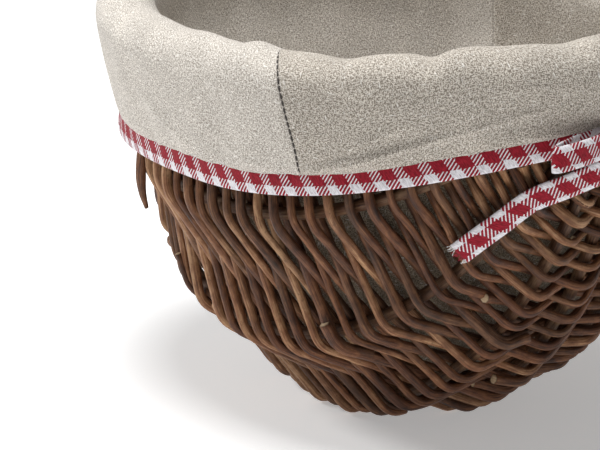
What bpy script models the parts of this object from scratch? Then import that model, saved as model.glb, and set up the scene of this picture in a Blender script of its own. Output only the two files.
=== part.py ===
"""Oval frame basket of willow with a linen liner, a gingham hem binding and a bow.

The basket is 0.29 m long (X), 0.23 m wide (Y) and 0.18 m high, and rests on the flat
woven bottom at Z = 0. The front is -Y. The bow is at the ear on the +X side.
"""
import math

import bmesh
import bpy
from mathutils import Vector

MM = 0.001

# Frame: the hoop's centre line, and the boat-shaped surface that the ribs' centres lie on
RIM_HALF_LENGTH = 131 * MM
RIM_HALF_WIDTH = 100.5 * MM
RIM_HEIGHT = 155.3 * MM          # at the middle of the long sides
RIM_RISE = 10.6 * MM             # extra height at the two ears
HULL_DEPTH = 155.7 * MM          # from the hoop down to the keel, before the bottom is flattened
PLAN_POWER = 2.16                # 2 is an ellipse, more is fuller
KEEL_POWER = 2.15
SECTION_POWER = 2.25
RIM_ROD_RADIUS = 5 * MM
RIB_RADIUS = 2.65 * MM
RIB_ANGLES = {"high": 18.7, "middle": 43.6, "low": 70.9}    # degrees below the hoop
RIB_END = 0.980                  # share of the half length at which the ribs stop
RIB_SPREAD = 78.5                # degrees: larger puts more of a rib's points near its ends
GAP = 0.5 * MM
WEAVE_GAP = 1.3 * MM             # beside the ribs and the hoop

# Woven skin: rods pass outside and inside the ribs
WEAVE_OUT = 4.2 * MM
WEAVE_THICKNESS = 8.4 * MM
PANEL_END = 0.960
PANEL_SPREAD = 77                # degrees, as RIB_SPREAD
EAR_PAD_REACH = 0.195            # size of the pad that holds the ribs' ends, as a share of the hull
EAR_PAD_DEPTH = 0.94             # of the reach, straight down
EAR_PAD_TOP = 7 * MM             # clear of the hoop
EAR_PAD_OUT = 2 * MM
EAR_PAD_THICKNESS = 7 * MM
BOTTOM_LEVEL = WEAVE_OUT         # the rib surface is flattened here, so the weave lies on Z = 0

# Linen liner: bag, fold over the hoop and turned-out cuff
LINEN = 1.4 * MM
BAG_INSET = 8 * MM
BASE_SEAM_ANGLE = 52             # degrees below the hoop of the seam round the base piece
WALL_ANGLES = (BASE_SEAM_ANGLE, 43, 34, 25, 17, 9)
FOLD_ANGLES = (180, 144, 108, 72, 36, 0)
LINER_SEAMS = (-67, 113)         # degrees round the hoop
SEAM_GAP = 0.25                  # degrees between two pieces of linen
FOLD_OUT = 1.5 * MM              # centre of the fold, outside and above the hoop's centre
FOLD_UP = 0.5 * MM
FOLD_RADIUS = 11.7 * MM
CUFF_BULGE = 1.5 * MM

# Gingham binding along the cuff's hem, and the bow
BAND_HALF_LENGTH = 135.5 * MM
BAND_HALF_WIDTH = 104.5 * MM
BAND_POWER = 2.11
BAND_LEVEL = 108.8 * MM          # lower edge at the middle of the long sides
BAND_RISE_BOW_END = 26.5 * MM
BAND_RISE_FAR_END = -5.3 * MM
BAND_WIDTH = 10 * MM
BAND_THICKNESS = 2 * MM
BAND_START = 4.6                 # degrees from the ear to where the binding enters the knot
KNOT_CENTRE = Vector((140, 0, 139.8)) * MM
KNOT_HALF = Vector((4.2, 8.0, 6.0)) * MM
RIBBON_THICKNESS = 1.0 * MM
LOOP_LENGTH = 34 * MM
LOOP_HALF_DEPTH = 3.2 * MM
LOOP_DROOP = 4 * MM
TAIL_START = Vector((-0.6, 7.0, -10.2)) * MM     # from the knot's centre
TAIL_BOW = 1.2 * MM              # how far a tail hangs out between the knot and the weave
TAIL_PLACES = ((0.903, 38.2), (0.862, 36.9), (0.818, 36.1), (0.770, 36.2))    # u and degrees on the weave
TAIL_OUT = WEAVE_OUT + 2.4 * MM

LINEN_COLOUR = (0.52, 0.46, 0.38)
WILLOW_COLOUR = (0.20, 0.10, 0.045)
RIB_COLOUR = (0.26, 0.14, 0.065)
GINGHAM_COLOUR = (0.62, 0.16, 0.19)


def clear_scene():
    for thing in list(bpy.data.objects):
        bpy.data.objects.remove(thing, do_unlink=True)


def new_collection(name):
    collection = bpy.data.collections.new(name)
    bpy.context.scene.collection.children.link(collection)
    return collection


def new_material(name, colour, roughness):
    material = bpy.data.materials.new(name)
    material.use_nodes = True
    shader = material.node_tree.nodes["Principled BSDF"]
    shader.inputs["Base Color"].default_value = (*colour, 1)
    shader.inputs["Roughness"].default_value = roughness
    shader.inputs["Metallic"].default_value = 0
    material.diffuse_color = (*colour, 1)
    return material


def power(value, exponent):
    """Signed power, for superellipses."""
    return math.copysign(abs(value) ** exponent, value)


def mix(a, b, share):
    return a + (b - a) * share


def hull_point(u, psi, out=0.0):
    """Point on the rib surface moved out: u from ear to ear, psi from the front hoop round the bottom."""
    half_width = (RIM_HALF_WIDTH + out) * (1 - abs(u) ** PLAN_POWER) ** 0.5
    depth = (HULL_DEPTH + out) * (1 - abs(u) ** KEEL_POWER) ** 0.5
    y = -half_width * power(math.cos(psi), 2 / SECTION_POWER)
    z = RIM_HEIGHT + RIM_RISE * u * u - depth * power(math.sin(psi), 2 / SECTION_POWER)
    return Vector(((RIM_HALF_LENGTH + out) * u, y, max(z, BOTTOM_LEVEL - out)))


def rim_point(theta):
    x = power(math.cos(theta), 2 / PLAN_POWER)
    return Vector((RIM_HALF_LENGTH * x, RIM_HALF_WIDTH * math.sin(theta), RIM_HEIGHT + RIM_RISE * x * x))


def rim_outward(theta):
    x = power(math.cos(theta), 2 / PLAN_POWER)
    slope_x = PLAN_POWER * power(x, PLAN_POWER - 1) / RIM_HALF_LENGTH
    return Vector((slope_x, 2 * math.sin(theta) / RIM_HALF_WIDTH, 0)).normalized()


def band_point(theta, height):
    x = power(math.cos(theta), 2 / BAND_POWER)
    y = power(math.sin(theta), 2 / BAND_POWER)
    rise = BAND_RISE_BOW_END if x > 0 else BAND_RISE_FAR_END
    return Vector((BAND_HALF_LENGTH * x, BAND_HALF_WIDTH * y, BAND_LEVEL + rise * x * x + height))


def bag_point(theta, phi, inset):
    """Point on the rib surface moved in, on the ray at theta round and phi below the hoop."""
    across_x = math.cos(phi) * power(math.cos(theta), 2 / PLAN_POWER)
    across_y = math.cos(phi) * math.sin(theta)
    down = math.sin(phi)
    low, high = 0.5, 1.3
    for _ in range(40):
        reach = (low + high) / 2
        u = min(abs(across_x * reach), 0.9999)
        side = abs(across_y * reach) / (1 - u ** PLAN_POWER) ** 0.5
        drop = down * reach / (1 - u ** KEEL_POWER) ** 0.5
        if side ** SECTION_POWER + drop ** SECTION_POWER > 1 or u > 0.9998:
            high = reach
        else:
            low = reach
    u = across_x * reach
    z = RIM_HEIGHT + RIM_RISE * u * u - (HULL_DEPTH - inset) * down * reach
    return Vector((
        (RIM_HALF_LENGTH - inset) * u,
        (RIM_HALF_WIDTH - inset) * across_y * reach,
        max(z, BOTTOM_LEVEL + inset),
    ))


def finish(obj, material, collection):
    obj.data.materials.append(material)
    collection.objects.link(obj)
    return obj


def add_rod(name, points, radius, material, collection, closed=False):
    curve = bpy.data.curves.new(name, "CURVE")
    curve.dimensions = "3D"
    curve.bevel_depth = radius
    curve.bevel_resolution = 2
    curve.use_fill_caps = not closed
    spline = curve.splines.new("POLY")
    spline.points.add(len(points) - 1)
    for point, place in zip(spline.points, points):
        point.co = (*place, 1)
    spline.use_cyclic_u = closed
    return finish(bpy.data.objects.new(name, curve), material, collection)


def add_sheet(name, shape, segments, thickness, offset, material, collection):
    """A grid bent by shape(s, t), with s and t from -1 to 1, and given its thickness."""
    mesh = bpy.data.meshes.new(name)
    grid = bmesh.new()
    bmesh.ops.create_grid(grid, x_segments=segments[0], y_segments=segments[1], size=1)
    for vertex in grid.verts:
        vertex.co = shape(vertex.co.x, vertex.co.y)
    grid.to_mesh(mesh)
    grid.free()
    mesh.shade_smooth()
    obj = finish(bpy.data.objects.new(name, mesh), material, collection)
    shell = obj.modifiers.new("thickness", "SOLIDIFY")
    shell.thickness = thickness
    shell.offset = offset
    return obj


def rib_path(angle, count=30):
    """Points along a rib, closer together towards the ears."""
    spread = [math.sin(math.radians(mix(-RIB_SPREAD, RIB_SPREAD, k / count))) for k in range(count + 1)]
    return [hull_point(RIB_END * share / spread[-1], math.radians(angle)) for share in spread]


def rib_angles():
    """All ribs from the front hoop round the bottom, as (name, degrees)."""
    front = [(f"rib_front_{name}", angle) for name, angle in RIB_ANGLES.items()]
    back = [(f"rib_back_{name}", 180 - angle) for name, angle in reversed(RIB_ANGLES.items())]
    return front + [("keel_rib", 90)] + back


def build_frame(materials, collection):
    turns = [2 * math.pi * k / 64 for k in range(64)]
    add_rod("rim_hoop", [rim_point(t) for t in turns], RIM_ROD_RADIUS, materials["rib"], collection, True)
    for name, angle in rib_angles():
        add_rod(name, rib_path(angle), RIB_RADIUS, materials["rib"], collection)


def edge_angle(u, psi, clearance):
    """Angle round the section that leaves the clearance beside a rib or the hoop."""
    step = 0.01
    first, last = max(psi - step, 0), min(psi + step, math.pi)
    across = (hull_point(u, last) - hull_point(u, first)) / (last - first)
    along = (hull_point(u + step / 2, psi) - hull_point(u - step / 2, psi)).normalized()
    return clearance / across.cross(along).length


def build_weave(materials, collection):
    """Woven skin between the ribs, one piece for each space, as wide as the space."""
    lines = [0.0] + [math.radians(angle) for _, angle in rib_angles()] + [math.pi]
    clearances = [RIM_ROD_RADIUS + WEAVE_GAP] + [RIB_RADIUS + WEAVE_GAP] * 7 + [RIM_ROD_RADIUS + WEAVE_GAP]
    places = ("front_top", "front_side", "front_low", "front_bottom")
    names = places + tuple(place.replace("front", "back") for place in reversed(places))
    for index, place in enumerate(names):
        def shape(s, t, start=index):
            u = PANEL_END * math.sin(s * math.radians(PANEL_SPREAD)) / math.sin(math.radians(PANEL_SPREAD))
            first = lines[start] + edge_angle(u, lines[start], clearances[start])
            last = lines[start + 1] - edge_angle(u, lines[start + 1], clearances[start + 1])
            return hull_point(u, mix(last, first, (t + 1) / 2), WEAVE_OUT)
        add_sheet(f"weave_{place}", shape, (26, 3), WEAVE_THICKNESS, -1, materials["willow"], collection)


def build_ear_pads(materials, collection):
    """Lashed pads at the ears, just under the hoop, that the ribs' ends run into."""
    lowest = EAR_PAD_REACH * HULL_DEPTH * EAR_PAD_DEPTH
    for name, side in (("ear_pad_bow_end", 1), ("ear_pad_far_end", -1)):
        def shape(s, t, side=side):
            drop = mix(lowest, EAR_PAD_TOP, (t + 1) / 2)
            spread = EAR_PAD_REACH ** SECTION_POWER - (drop / HULL_DEPTH) ** SECTION_POWER
            y = s * RIM_HALF_WIDTH * spread ** (1 / SECTION_POWER)
            reach = (abs(y) / RIM_HALF_WIDTH) ** SECTION_POWER + (drop / HULL_DEPTH) ** SECTION_POWER
            u = (1 - reach ** (2 / SECTION_POWER)) ** (1 / PLAN_POWER)
            x = (RIM_HALF_LENGTH + EAR_PAD_OUT) * u
            return Vector((side * x, side * y, RIM_HEIGHT + RIM_RISE * u * u - drop))
        add_sheet(name, shape, (6, 5), EAR_PAD_THICKNESS, -1, materials["willow"], collection)


def cuff_profile(theta):
    """Middle of the linen from the base seam up the wall, over the hoop and down to the hem."""
    rim, outward, up = rim_point(theta), rim_outward(theta), Vector((0, 0, 1))
    wall = [bag_point(theta, math.radians(angle), BAG_INSET) for angle in WALL_ANGLES]
    centre = rim + outward * FOLD_OUT + up * FOLD_UP
    turns = [math.radians(angle) for angle in FOLD_ANGLES]
    fold = [centre + (outward * math.cos(a) + up * math.sin(a)) * FOLD_RADIUS for a in turns]
    hem = band_point(theta, BAND_WIDTH + GAP)
    drape = [
        fold[-1].lerp(hem, share) + outward * (CUFF_BULGE * math.sin(math.pi * share))
        for share in (0.25, 0.5, 0.75, 1)
    ]
    return wall + fold + drape


def build_liner(materials, collection):
    def base_shape(s, t):
        x, y = s * (1 - t * t / 2) ** 0.5, t * (1 - s * s / 2) ** 0.5
        phi = math.radians(mix(90, BASE_SEAM_ANGLE + 1, min(math.hypot(x, y), 1)))
        return bag_point(math.atan2(y, x), phi, BAG_INSET)
    add_sheet("liner_base", base_shape, (12, 12), LINEN, 0, materials["linen"], collection)

    first, second = LINER_SEAMS
    spans = (("liner_right", first, second), ("liner_left", second, first + 360))
    for name, start, end in spans:
        def shape(s, t, start=start, end=end):
            theta = math.radians(mix(start + SEAM_GAP, end - SEAM_GAP, (s + 1) / 2))
            profile = cuff_profile(theta)
            return profile[round((t + 1) / 2 * (len(profile) - 1))]
        add_sheet(name, shape, (24, 15), LINEN, 0, materials["linen"], collection)


def build_binding(materials, collection):
    def shape(s, t):
        theta = math.radians(mix(BAND_START, 360 - BAND_START, (s + 1) / 2))
        return band_point(theta, BAND_WIDTH * (t + 1) / 2)
    add_sheet("hem_binding", shape, (72, 1), BAND_THICKNESS, 0, materials["gingham"], collection)


def add_ribbon(name, path, facing, collection, material):
    """A flat ribbon along the path's points, its flat side turned towards each point's facing."""
    def shape(s, t):
        index = round((s + 1) / 2 * (len(path) - 1))
        ahead = path[min(index + 1, len(path) - 1)] - path[max(index - 1, 0)]
        across = facing[index].cross(ahead).normalized()
        return path[index] + across * (BAND_WIDTH / 2 * t)
    return add_sheet(name, shape, (len(path) - 1, 1), RIBBON_THICKNESS, 0, material, collection)


def tail_path(side):
    """From just below the knot to the side of the hull, a little off the weave."""
    start = KNOT_CENTRE + Vector((TAIL_START.x, side * TAIL_START.y, TAIL_START.z))
    rest = []
    for u, angle in TAIL_PLACES:
        place = hull_point(u, math.radians(angle), TAIL_OUT)
        rest.append(Vector((place.x, -side * place.y, place.z)))
    middle = [start.lerp(rest[0], share) + Vector((TAIL_BOW, 0, 0)) for share in (0.35, 0.7)]
    return [start] + middle + rest


def build_bow(materials, collection):
    mesh = bpy.data.meshes.new("bow_knot")
    ball = bmesh.new()
    bmesh.ops.create_uvsphere(ball, u_segments=12, v_segments=8, radius=1)
    for vertex in ball.verts:
        vertex.co = [vertex.co[i] * KNOT_HALF[i] for i in range(3)]
    ball.to_mesh(mesh)
    ball.free()
    mesh.shade_smooth()
    knot = finish(bpy.data.objects.new("bow_knot", mesh), materials["gingham"], collection)
    knot.location = KNOT_CENTRE

    for word, side in (("front", -1), ("back", 1)):
        loop, facing = [], []
        for k in range(17):
            turn = math.radians(mix(8, 352, k / 16))
            reach = LOOP_LENGTH * (1 - math.cos(turn)) / 2
            depth = LOOP_HALF_DEPTH * math.sin(turn)
            aside = side * (KNOT_HALF.y + 0.6 * MM + reach)
            offset = Vector((depth + 1 * MM, aside, 1 * MM - LOOP_DROOP * reach / LOOP_LENGTH))
            loop.append(KNOT_CENTRE + offset)
            facing.append(Vector((math.sin(turn), -side * math.cos(turn), 0)))
        add_ribbon(f"bow_loop_{word}", loop, facing, collection, materials["gingham"])

        path = tail_path(side)
        turned = [k / (len(path) - 1) for k in range(len(path))]
        outward = [Vector((1, side * mix(0.15, 0.75, t), -mix(0.1, 0.3, t))) for t in turned]
        add_ribbon(f"bow_tail_{word}", path, outward, collection, materials["gingham"])


def main():
    clear_scene()
    collection = new_collection("lined_frame_basket")
    materials = {
        "rib": new_material("rib_willow", RIB_COLOUR, 0.6),
        "willow": new_material("woven_willow", WILLOW_COLOUR, 0.6),
        "linen": new_material("linen", LINEN_COLOUR, 0.9),
        "gingham": new_material("gingham", GINGHAM_COLOUR, 0.85),
    }
    build_frame(materials, collection)
    build_weave(materials, collection)
    build_ear_pads(materials, collection)
    build_liner(materials, collection)
    build_binding(materials, collection)
    build_bow(materials, collection)


main()
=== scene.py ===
import math

import bmesh
import bpy
import numpy as np
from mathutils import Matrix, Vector


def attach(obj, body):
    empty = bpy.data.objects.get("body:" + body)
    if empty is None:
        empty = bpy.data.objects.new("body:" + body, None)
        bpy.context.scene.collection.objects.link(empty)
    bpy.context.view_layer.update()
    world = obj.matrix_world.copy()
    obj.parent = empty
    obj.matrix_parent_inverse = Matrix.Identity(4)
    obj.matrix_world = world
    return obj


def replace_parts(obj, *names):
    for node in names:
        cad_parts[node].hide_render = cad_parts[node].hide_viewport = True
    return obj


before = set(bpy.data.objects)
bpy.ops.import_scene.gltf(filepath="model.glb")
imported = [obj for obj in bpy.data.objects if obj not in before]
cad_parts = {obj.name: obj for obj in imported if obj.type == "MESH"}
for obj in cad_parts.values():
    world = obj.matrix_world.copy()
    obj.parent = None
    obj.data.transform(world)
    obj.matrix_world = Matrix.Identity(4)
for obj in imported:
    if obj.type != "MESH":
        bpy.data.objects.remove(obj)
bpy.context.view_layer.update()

MM = 0.001
UP = np.array([0, 0, 1.0])
rng = np.random.default_rng(7)

# The basket's frame, as the CAD has it
RIM_HALF_LENGTH = 131 * MM
RIM_HALF_WIDTH = 100.5 * MM
RIM_HEIGHT = 155.3 * MM
RIM_RISE = 10.6 * MM
HULL_DEPTH = 155.7 * MM
PLAN_POWER = 2.16
KEEL_POWER = 2.15
SECTION_POWER = 2.25
RIM_ROD_RADIUS = 5 * MM
RIB_RADIUS = 2.65 * MM
RIB_END = 0.980
RIBS = {
    "rib_front_high": 18.7, "rib_front_middle": 43.6, "rib_front_low": 70.9, "keel_rib": 90,
    "rib_back_low": 109.1, "rib_back_middle": 136.4, "rib_back_high": 161.3,
}

# Weavers
ROD_RADIUS = 1.75 * MM
ROW_PITCH = 4.3 * MM         # along the ribs, from one pass to the next
ROW_END = 0.972
FILL_START = 0.63            # share of the hoop's length where short passes begin
FILL_END = 0.86
ELBOW_REACH = 5.5 * MM
ELBOW_LIFT = 2.4 * MM
CORNER_POINTS = 6
CORNER_SHARE = 0.48          # of the way to the next corner at most
PASSES_IN_A_ROD = 1.9
ROD_STEP = 2.0 * MM
END_RING = 0.8               # a rod's cut end, as shares of its radius
END_RING_OUT = 0.12
END_DOME = 0.16
WEAVER_SIDES = 8
FRAME_SIDES = 12
ROD_ENDS = (2.3 * MM, 1.5 * MM)
ROD_WAVES = ((90, 0.28), (41, 0.10), (17, 0.05))    # length and height in mm
BUD_SWELL = 0.17
END_ASIDE = 0.9 * MM
END_OUT = 2.2 * MM
END_FADE = 14 * MM
BELOW_HEM = 98 * MM          # rods' ends may stand off the wall below this height
BASE_LIFT = 6.1 * MM         # height of the ribs' middles where the base is flat
# The broken tip: u, degrees down from the hoop, and distance off the rib surface in mm
LOOSE_END = ((-0.40, 10, 0.5), (-0.405, 15, 3.5), (-0.41, 20, 6.6), (-0.415, 24, 8.0), (-0.42, 27.5, 8.0))

# Linen and gingham
BAG_INSET = 8 * MM
BAG_FLOOR = 4.2 * MM         # height of the flat base under the bag
BASE_SEAM_ANGLE = 52
LINER_SEAMS = (-67, 113)
FOLD_OUT = 1.5 * MM
FOLD_UP = 0.5 * MM
FOLD_RADIUS = 11.7 * MM
CUFF_BULGE = 1.5 * MM
LINEN_THICKNESS = 0.8 * MM
LINER_COLUMNS = 360
LINER_ROWS = 110
CUFF_RADIUS = 118 * MM       # mean
CLOTH_LENGTH = 165 * MM      # mean, from base seam to hem
CREASES = 26                 # on each panel
SEAM_START = 0.45            # share of the cloth's length
SEAM_STITCH = (2.9 * MM, 2.1 * MM, 0.4 * MM, 0.4 * MM)    # pitch, length, radius, height
LINEN_THREAD = 0.72 * MM     # spacing of the threads
BAND_HALF_LENGTH = 135.5 * MM
BAND_HALF_WIDTH = 104.5 * MM
BAND_POWER = 2.11
BAND_LEVEL = 108.8 * MM
BAND_RISE_BOW_END = 26.5 * MM
BAND_RISE_FAR_END = -5.3 * MM
BAND_WIDTH = 10 * MM
BAND_DEPTH = 1.0 * MM        # half its thickness
BAND_STRIPE = 1.1 * MM       # from the band's middle line to the edge of a stripe
BAND_STITCH = (3.4 * MM, 2.9 * MM, 0.24 * MM, 0.7 * MM)
BAND_START = 4.6             # degrees from the bow's middle to the binding's ends
CHECK = 5 * MM
HATCH = 1.7 * MM             # spacing of the slanting threads in the mixed checks
GINGHAM_SKEW = 0.6           # the cloth's columns lean by this share of the height
KNOT_CENTRE = np.array([140, 0, 139.8]) * MM
KNOT_HALF_LENGTH = 7.6 * MM
KNOT_RADII = (4.2 * MM, 6.0 * MM)
LOOP_START = 8.6 * MM        # from the knot's middle
LOOP_REACH = 34 * MM
LOOP_HALF_WIDTH = 3.2 * MM
LOOP_DROP = 4 * MM
RIBBON_THICKNESS = 0.7 * MM
RIBBON_ROWS = 90
RIBBON_COLUMNS = 9
TAIL_START = (-0.6, 7, -10.2)
TAIL_OUT = 6.6 * MM          # from the rib surface to the tail
TAIL_PLACES = ((0.903, 38.2), (0.862, 36.9), (0.818, 36.1), (0.770, 36.2))
FRAY_THREADS = 24
FRAY_RADIUS = 0.17 * MM

# Studio, in metres
CAMERA_TARGET = Vector((0.0818, -0.1162, 0.1111))
CAMERA_DISTANCE = 1.104
LIGHTS_AIM = Vector((0, 0, 0.1))
FLOOR_LEVEL = -0.0002


# ---- camera, light and floor

def add_object(name, data):
    added = bpy.data.objects.new(name, data)
    bpy.context.scene.collection.objects.link(added)
    return added


def turn_to(seen_from, place, direction):
    """Puts a camera or a light at a place and turns it in a direction."""
    seen_from.location = place
    seen_from.rotation_mode = "QUATERNION"
    seen_from.rotation_quaternion = direction.to_track_quat("-Z", "Y")


def make_camera():
    azimuth, elevation = math.radians(52.5), math.radians(16.3)
    back = Vector((
        math.sin(azimuth) * math.cos(elevation),
        -math.cos(azimuth) * math.cos(elevation),
        math.sin(elevation),
    ))
    data = bpy.data.cameras.new("camera")
    data.lens = 176.6
    data.clip_start = 0.05
    data.clip_end = 20
    camera = add_object("camera", data)
    turn_to(camera, CAMERA_TARGET + back * CAMERA_DISTANCE, -back)
    bpy.context.scene.camera = camera


def area_light(name, place, size, power):
    data = bpy.data.lights.new(name, "AREA")
    data.shape = "DISK"
    data.size = size
    data.energy = power
    turn_to(add_object(name, data), place, LIGHTS_AIM - Vector(place))


def make_studio():
    scene = bpy.context.scene
    scene.view_settings.view_transform = "Standard"
    world = bpy.data.worlds.new("studio")
    world.use_nodes = True
    colour, strength = world.node_tree.nodes["Background"].inputs[:2]
    colour.default_value = (1, 0.985, 0.96, 1)
    strength.default_value = 0.13
    scene.world = world
    area_light("key", (-1.3, -0.98, 1.1), 0.5, 18)
    area_light("overhead", (0.10, -0.18, 1.7), 0.8, 32)
    mesh = bpy.data.meshes.new("floor")
    corners = [(x, y, FLOOR_LEVEL) for x, y in ((-6, -6), (6, -6), (6, 6), (-6, 6))]
    mesh.from_pydata(corners, [], [(0, 1, 2, 3)])
    floor = add_object("floor", mesh)
    paper = Nodes("floor_paper")
    white, glow = (1, 1, 1, 1), 0.34
    paper.finish((0.86, 0.86, 0.86, 1), 0.9, None, Emission_Color=white, Emission_Strength=glow)
    mesh.materials.append(paper.material)


# ---- node materials

class Nodes:
    """Short calls for building a material's node tree."""

    def __init__(self, name):
        self.material = bpy.data.materials.new(name)
        self.material.use_nodes = True
        self.tree = self.material.node_tree
        self.shader = self.tree.nodes["Principled BSDF"]

    def put(self, value, socket):
        if isinstance(value, bpy.types.NodeSocket):
            self.tree.links.new(value, socket)
        elif value is not None:
            socket.default_value = value

    def attribute(self, name, output="Vector"):
        node = self.tree.nodes.new("ShaderNodeAttribute")
        node.attribute_name = name
        return node.outputs[output]

    def math(self, operation, a, b=None):
        node = self.tree.nodes.new("ShaderNodeMath")
        node.operation = operation
        self.put(a, node.inputs[0])
        self.put(b, node.inputs[1])
        return node.outputs[0]

    def split(self, vector):
        node = self.tree.nodes.new("ShaderNodeSeparateXYZ")
        self.put(vector, node.inputs[0])
        return node.outputs

    def noise(self, place, scales, detail, roughness):
        stretch = self.tree.nodes.new("ShaderNodeVectorMath")
        stretch.operation = "MULTIPLY"
        self.put(place, stretch.inputs[0])
        stretch.inputs[1].default_value = scales
        node = self.tree.nodes.new("ShaderNodeTexNoise")
        self.put(stretch.outputs[0], node.inputs["Vector"])
        node.inputs["Scale"].default_value = 1
        node.inputs["Detail"].default_value = detail
        node.inputs["Roughness"].default_value = roughness
        return node.outputs["Fac"]

    def blend(self, *shares):
        """The sum of values, each times its share."""
        total = None
        for value, share in shares:
            part = self.math("MULTIPLY", value, share)
            total = part if total is None else self.math("ADD", total, part)
        return total

    def span(self, value, low, high, to_low=0.0, to_high=1.0):
        node = self.tree.nodes.new("ShaderNodeMapRange")
        self.put(value, node.inputs[0])
        for socket, number in zip(node.inputs[1:5], (low, high, to_low, to_high)):
            socket.default_value = number
        return node.outputs[0]

    def mix(self, factor, a, b, blend="MIX"):
        node = self.tree.nodes.new("ShaderNodeMix")
        node.data_type = "RGBA"
        node.blend_type = blend
        self.put(factor, node.inputs[0])
        for colour, socket in zip((a, b), node.inputs[6:8]):
            self.put((*colour, 1) if isinstance(colour, tuple) else colour, socket)
        return node.outputs[2]

    def ramp(self, value, stops):
        node = self.tree.nodes.new("ShaderNodeValToRGB")
        elements = node.color_ramp.elements
        while len(elements) < len(stops):
            elements.new(0.5)
        for element, (place, colour) in zip(elements, stops):
            element.position = place
            element.color = (*colour, 1)
        self.put(value, node.inputs[0])
        return node.outputs[0]

    def bump(self, height, distance, strength, normal=None):
        node = self.tree.nodes.new("ShaderNodeBump")
        node.inputs["Distance"].default_value = distance
        node.inputs["Strength"].default_value = strength
        self.put(height, node.inputs["Height"])
        self.put(normal, node.inputs["Normal"])
        return node.outputs[0]

    def finish(self, colour, roughness, normal, **numbers):
        self.put(colour, self.shader.inputs["Base Color"])
        self.put(roughness, self.shader.inputs["Roughness"])
        self.put(normal, self.shader.inputs["Normal"])
        for name, number in numbers.items():
            self.shader.inputs[name.replace("_", " ")].default_value = number
        return self.material


# Bark from its furrows to its worn edges
RED_BARK = ((0.024, 0.009, 0.005), (0.108, 0.038, 0.016), (0.240, 0.098, 0.041), (0.480, 0.270, 0.140))
OLIVE_BARK = ((0.022, 0.011, 0.006), (0.088, 0.044, 0.021), (0.190, 0.100, 0.049), (0.430, 0.262, 0.140))


def tinted(colour, tint):
    return tuple(c * t for c, t in zip(colour, tint))


def willow_material(name, shade):
    """Unpeeled willow bark: streaks along the rod, mottling, worn patches and pale cut ends."""
    n = Nodes(name)
    place = n.attribute("rod_place")
    tone = n.attribute("rod_tone", "Fac")
    cut = n.attribute("rod_cut", "Fac")
    streak = n.noise(place, (70, 1500, 1500), 4, 0.65)
    mottle = n.noise(place, (55, 150, 150), 3, 0.6)
    patch = n.noise(place, (170, 330, 330), 3, 0.6)
    hue = n.noise(place, (16, 40, 40), 2, 0.5)
    specks = n.noise(place, (800, 1100, 1100), 2, 0.5)
    value = n.blend((streak, 0.62), (mottle, 0.32), (patch, 0.34), (tone, 0.22))
    value = n.math("SUBTRACT", value, 0.24)
    barks = []
    # shade dims every bark colour. The weavers' 0.9 is their own darker tone; the frame's 0.4 is painted
    # shade.
    for colours in (RED_BARK, OLIVE_BARK):
        stops = zip((0.29, 0.435, 0.565, 0.72), colours)
        barks.append(n.ramp(value, [(at, tinted(colour, (shade,) * 3)) for at, colour in stops]))
    bark = n.mix(n.span(hue, 0.42, 0.62, 0.0, 0.55), *barks)
    speckle = n.span(specks, 0.62, 0.70)
    bark = n.mix(n.math("MULTIPLY", speckle, 0.4), bark, (0.030, 0.014, 0.008))
    rings = n.noise(place, (20, 2500, 2500), 2, 0.5)
    pith = n.ramp(rings, [(0.3, (0.40, 0.27, 0.15)), (0.7, (0.60, 0.45, 0.29))])
    colour = n.mix(cut, bark, pith)
    normal = n.bump(streak, 0.45 * MM, 0.8)
    normal = n.bump(patch, 0.8 * MM, 0.7, normal)
    rough = n.span(mottle, 0.3, 0.7, 0.48, 0.68)
    return n.finish(colour, rough, normal, Specular_IOR_Level=0.32)


def linen_material(name, tint, grain):
    """Plain woven natural linen: crossing threads of uneven thickness, with slubs."""
    n = Nodes(name)
    cloth = n.attribute("cloth_place")
    x, y, _ = n.split(cloth)
    waver = n.span(n.noise(cloth, (140, 140, 1), 2, 0.6), 0.3, 0.7, -0.6, 0.6)
    turns = 2 * math.pi / LINEN_THREAD
    across = n.math("SINE", n.math("ADD", n.math("MULTIPLY", x, turns), waver))
    down = n.math("SINE", n.math("ADD", n.math("MULTIPLY", y, turns), waver))
    weave = n.math("MULTIPLY", across, down)
    warp = n.noise(cloth, (2500, 800, 1), 1, 0.6)
    weft = n.noise(cloth, (800, 2500, 1), 1, 0.6)
    fine = n.noise(cloth, (2100, 2100, 1), 1, 0.6)
    slub_x = n.noise(cloth, (1300, 260, 1), 1, 0.5)
    slub_y = n.noise(cloth, (260, 1300, 1), 1, 0.5)
    cloud = n.noise(cloth, (60, 60, 1), 4, 0.65)
    threads = n.blend((warp, 0.3), (weft, 0.3), (fine, 0.4), (weave, 0.02))
    spread = 0.066 / grain
    colour = n.ramp(threads, [
        (0.50 - spread, tinted((0.235, 0.206, 0.174), tint)),
        (0.50, tinted((0.520, 0.478, 0.430), tint)),
        (0.50 + spread, tinted((0.860, 0.820, 0.770), tint)),
    ])
    slub = n.math("MAXIMUM", n.span(slub_x, 0.66, 0.76), n.span(slub_y, 0.66, 0.76))
    colour = n.mix(n.math("MULTIPLY", slub, 0.8), colour, (0.88, 0.85, 0.80))
    shade = n.span(cloud, 0.3, 0.7, 0.88, 1.07)
    colour = n.mix(1.0, colour, shade, "MULTIPLY")
    height = n.math("ADD", threads, n.math("MULTIPLY", weave, 0.08))
    normal = n.bump(height, 0.35 * MM, 0.7 * grain)
    normal = n.bump(slub, 0.25 * MM, 0.4, normal)
    return n.finish(colour, 0.92, normal, Sheen_Weight=0.15, Specular_IOR_Level=0.2)


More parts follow.
